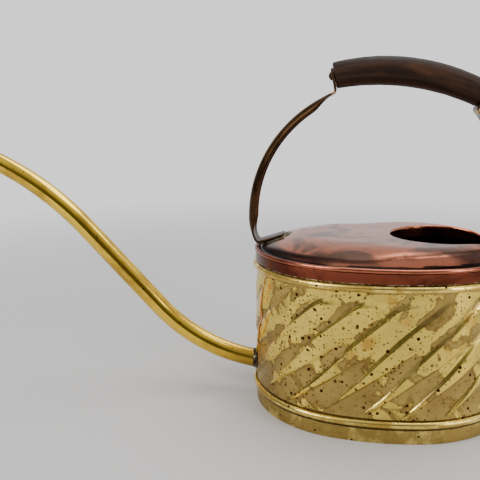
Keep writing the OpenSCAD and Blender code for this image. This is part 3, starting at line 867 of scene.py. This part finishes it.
# Grip. Hardwood turned to a long barrel and steamed to a gentle curve, stained dark and varnished.
# Hands have worn the varnish off in streaks along the top.
grip_finish = Finish("dark_wood", metallic=0.0)
grip_place = grip_finish.attribute("straight", "Vector")
figure = grip_finish.clouds(1.0, 6, 0.62, grip_finish.stretch(grip_place, (16, 230, 230)), 0.4)
pores = grip_finish.clouds(1.0, 4, 0.7, grip_finish.stretch(grip_place, (60, 1500, 1500)))
worn = grip_finish.clouds(1.0, 5, 0.6, grip_finish.stretch(grip_place, (26, 70, 70)), 0.5)
wood_tone = grip_finish.mix(grip_finish.step(figure, 0.36, 0.66), paint(30, 18, 12), paint(54, 34, 21))
wood_tone = grip_finish.mix(grip_finish.step(worn, 0.52, 0.72, 0, 0.7), wood_tone, paint(78, 49, 29))
wood_tone = grip_finish.mix(grip_finish.step(pores, 0.56, 0.7, 0, 0.8), wood_tone, paint(16, 9, 6))
grip_finish.colour(wood_tone)
grip_finish.gloss(grip_finish.step(worn, 0.4, 0.7, 0.48, 0.64))
grip_finish.shader.inputs["Specular IOR Level"].default_value = 0.14
grip_finish.relief(grip_finish.calc("SUBTRACT", figure, pores), 0.12, 0.6)
GRIP_THIN, GRIP_FAT = 9.1 * MM, 9.95 * MM
FAT_AT = math.radians(7)
GRIP_SPOTS, GRIP_POINTS = 110, 64
EDGE_ROUND = 1.3 * MM
front_arc, rear_arc = GRIP_ENDS["front"], GRIP_ENDS["rear"]
grip_points, grip_straight, grip_rows = [], [], []
for i in range(GRIP_SPOTS + 1):
    arc = front_arc + (rear_arc - front_arc) * i / GRIP_SPOTS
    reach = max((arc - FAT_AT) / (rear_arc - FAT_AT), (FAT_AT - arc) / (FAT_AT - front_arc))
    radius = GRIP_FAT - (GRIP_FAT - GRIP_THIN) * reach ** 2
    grip_rows.append((arc, radius))
edge_arc = EDGE_ROUND / GRIP_CURVE
EDGE_STEPS = 5
rows = [(front_arc, GRIP_THIN - EDGE_ROUND)]
for s in range(1, EDGE_STEPS + 1):
    a = math.pi / 2 * s / EDGE_STEPS
    rows.append((front_arc + edge_arc * (1 - math.cos(a)), GRIP_THIN - EDGE_ROUND * (1 - math.sin(a))))
rows += [r for r in grip_rows if front_arc + edge_arc * 1.2 < r[0] < rear_arc - edge_arc * 1.2]
for s in range(EDGE_STEPS, -1, -1):
    a = math.pi / 2 * s / EDGE_STEPS
    rows.append((rear_arc - edge_arc * (1 - math.cos(a)), GRIP_THIN - EDGE_ROUND * (1 - math.sin(a))))
for arc, radius in rows:
    for k in range(GRIP_POINTS):
        a = 2 * math.pi * k / GRIP_POINTS
        tool = 0.1 * MM * noise.noise(Vector((arc * 30, math.cos(a) * 1.5, math.sin(a) * 1.5)))
        side, depth = (radius + tool) * math.cos(a), (radius + tool) * math.sin(a)
        x = GRIP_X + (GRIP_CURVE + side) * math.sin(arc)
        z = GRIP_TOP - GRIP_CURVE + (GRIP_CURVE + side) * math.cos(arc)
        grip_points.append((x, depth, z))
        grip_straight.append(((arc - front_arc) * GRIP_CURVE, side, depth))
faces = grid_faces(len(rows), GRIP_POINTS, False, True)
faces.append(tuple(range(GRIP_POINTS)))
faces.append(tuple(range((len(rows) - 1) * GRIP_POINTS, len(rows) * GRIP_POINTS)))
grip = new_piece("turned_grip", grip_points, faces, grip_finish.material, "wooden_grip")
mark(grip, "straight", [value for spot in grip_straight for value in spot], "FLOAT_VECTOR")


# Screws. A round-headed brass wood screw through each strap's tab into the end of the grip, its
# slot filled with old polish.
screw_brass = plain_brass("screw_brass", (96, 76, 44), (56, 42, 24), -0.02, 0.3, 0.45)
for node in ("front_screw", "rear_screw"):
    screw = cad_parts[node]
    screw.data.materials.clear()
    screw.data.materials.append(screw_brass)


# Floor and studio. A pale seamless floor that runs out into an even grey, lit by large soft lamps.
FLOOR_RADIUS = 6.0
BACKDROP = paint(204, 204, 205)
BACKDROP_POWER = 2.05
ROOM_DARK = 0.08
ROOM_LIT = 0.8
OVERHEAD = 0.6
floor_points = [(0, 0, 0)]
floor_faces = []
FLOOR_RINGS, FLOOR_SPOKES = 12, 64
for ring in range(1, FLOOR_RINGS + 1):
    for k in range(FLOOR_SPOKES):
        a = 2 * math.pi * k / FLOOR_SPOKES
        reach = FLOOR_RADIUS * (ring / FLOOR_RINGS) ** 2
        floor_points.append((reach * math.cos(a), reach * math.sin(a), 0))
for k in range(FLOOR_SPOKES):
    k2 = (k + 1) % FLOOR_SPOKES
    floor_faces.append((0, 1 + k, 1 + k2))
    for ring in range(FLOOR_RINGS - 1):
        a, b = 1 + ring * FLOOR_SPOKES, 1 + (ring + 1) * FLOOR_SPOKES
        floor_faces.append((a + k, b + k, b + k2, a + k2))
floor_mesh = bpy.data.meshes.new("studio_floor")
floor_mesh.from_pydata(floor_points, [], floor_faces)
floor = bpy.data.objects.new("studio_floor", floor_mesh)
bpy.context.scene.collection.objects.link(floor)
floor_finish = Finish("pale_floor", metallic=0.0)
away = floor_finish.add("VectorMath", {"operation": "LENGTH"}, {0: floor_finish.place}).outputs["Value"]
floor_finish.shader.inputs["Roughness"].default_value = 0.55
floor_finish.colour(floor_finish.mix(floor_finish.clouds(6, 2), paint(186, 184, 183), paint(190, 188, 187)))
glow = floor_finish.add("Emission", {}, {"Color": BACKDROP, "Strength": BACKDROP_POWER})
fade = floor_finish.add("MixShader", {}, {0: floor_finish.step(away, 0.35, 1.3),
                                          1: floor_finish.shader.outputs[0], 2: glow.outputs[0]})
floor_finish.tree.links.new(fade.outputs[0], floor_finish.tree.nodes["Material Output"].inputs["Surface"])
floor_mesh.materials.append(floor_finish.material)

world = bpy.data.worlds.new("studio")
bpy.context.scene.world = world
world.use_nodes = True
sky = world.node_tree.nodes["Background"]
sky.inputs["Strength"].default_value = BACKDROP_POWER


def sky_part(kind, settings=None, wires=None):
    """A node of the studio's light: dark in front and to the left, lit behind, to the right and above."""
    return add_node(world.node_tree, kind, settings, wires)


compass = sky_part("SeparateXYZ", {}, {0: sky_part("TexCoord").outputs["Generated"]}).outputs
rightward = sky_part("Math", {"operation": "MULTIPLY"}, {0: compass["X"], 1: 0.6}).outputs[0]
facing = sky_part("Math", {"operation": "MULTIPLY_ADD"}, {0: compass["Y"], 1: 0.8, 2: rightward}).outputs[0]
room = sky_part("MapRange", {"interpolation_type": "SMOOTHSTEP"}, {
    "Value": facing, "From Min": -0.6, "From Max": 0.6, "To Min": ROOM_DARK, "To Max": ROOM_LIT}).outputs[0]
overhead = sky_part("MapRange", {"interpolation_type": "SMOOTHSTEP"}, {
    "Value": compass["Z"], "From Min": 0.25, "From Max": 0.9, "To Min": 0.0, "To Max": OVERHEAD}).outputs[0]
lit = sky_part("Math", {"operation": "MAXIMUM"}, {0: room, 1: overhead}).outputs[0]
backdrop_seen = sky_part("LightPath").outputs["Is Camera Ray"]
lit = sky_part("Math", {"operation": "MAXIMUM"}, {0: lit, 1: backdrop_seen}).outputs[0]
shade = sky_part("Mix", {"data_type": "RGBA"}, {0: lit, 6: (0, 0, 0, 1), 7: BACKDROP}).outputs[2]
world.node_tree.links.new(shade, sky.inputs["Color"])


def lamp(name, spot, target, size, power):
    data = bpy.data.lights.new(name, "AREA")
    data.shape = "RECTANGLE"
    data.size, data.size_y = size
    data.energy = power
    light = bpy.data.objects.new(name, data)
    bpy.context.scene.collection.objects.link(light)
    light.location = spot
    light.rotation_euler = (Vector(target) - Vector(spot)).to_track_quat("-Z", "Y").to_euler()


lamp("left_softbox", (-1.1, -0.9, 1.2), (0, 0, 0.08), (0.9, 0.9), 22)
lamp("top_softbox", (0.3, 0.3, 1.6), (0, 0, 0.1), (1.4, 1.0), 16)
lamp("right_softbox", (1.3, -0.8, 0.7), (0, 0, 0.08), (0.5, 1.0), 12)

CAMERA_SPOT = Vector((-0.0262, -0.4607, 0.2090))
CAMERA_AIM = Vector((-0.16196, 0.96784, -0.19252)).normalized()
CAMERA_ROLL = math.radians(0.61)
camera_data = bpy.data.cameras.new("camera")
camera_data.sensor_width = 36
camera_data.lens = 47.33
camera_data.clip_start = 0.01
camera = bpy.data.objects.new("camera", camera_data)
bpy.context.scene.collection.objects.link(camera)
level_right = CAMERA_AIM.cross(Vector((0, 0, 1))).normalized()
level_up = level_right.cross(CAMERA_AIM)
right = math.cos(CAMERA_ROLL) * level_right - math.sin(CAMERA_ROLL) * level_up
up = math.cos(CAMERA_ROLL) * level_up + math.sin(CAMERA_ROLL) * level_right
axes = Matrix((right, up, -CAMERA_AIM)).transposed()
camera.matrix_world = Matrix.Translation(CAMERA_SPOT) @ axes.to_4x4()
bpy.context.scene.camera = camera
